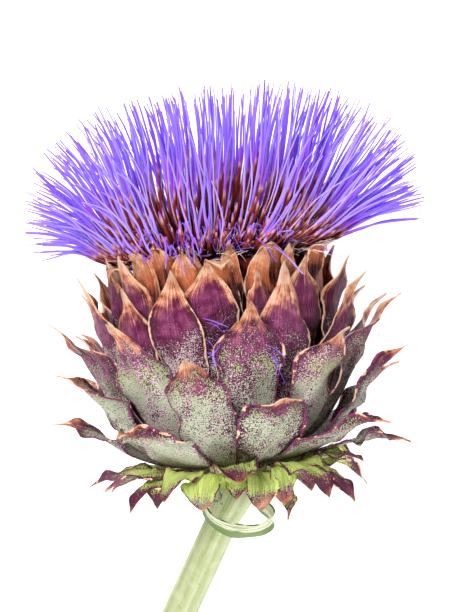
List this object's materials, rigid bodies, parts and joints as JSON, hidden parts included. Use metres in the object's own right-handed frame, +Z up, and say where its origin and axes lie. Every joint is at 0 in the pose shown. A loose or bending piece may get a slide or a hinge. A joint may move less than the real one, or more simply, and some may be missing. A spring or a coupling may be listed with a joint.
{
  "type": "cardoon flower head",
  "caption": "Thistle-like flower head lying on its side: a globe of overlapping spine-tipped bracts, a spreading tuft of slender florets above it and a ribbed cut stalk.",
  "frame": {"origin": "middle of the bounding box in X and Y, on the surface that the flower lies on", "axes": "+Y from the cut end of the stalk towards the florets, +Z up from the surface, +X to the right of the head seen from above"},
  "size_m": [0.1146, 0.2153, 0.0984],
  "materials": {
    "reflexed_bract": "satin, leafy",
    "outer_bract": "matte, leathery",
    "middle_bract": "matte, leathery",
    "upper_bract": "satin, leathery",
    "crown_bract": "satin, dry at the tips",
    "inner_bract": "dry, papery",
    "flesh": "moist, fleshy",
    "floret": "soft, finely fibrous",
    "stalk": "satin, fibrous",
    "stalk_leaf": "satin, leafy"
  },
  "bodies": {
    "root": {"reflexed_bracts": "reflexed_bract", "outer_bracts": "outer_bract", "middle_bracts": "middle_bract", "upper_bracts": "upper_bract", "crown_bracts": "crown_bract", "inner_bracts": "inner_bract", "receptacle": "flesh", "florets": "floret", "stalk": "stalk", "stalk_leaf": "stalk_leaf"}
  },
  "joints": []
}
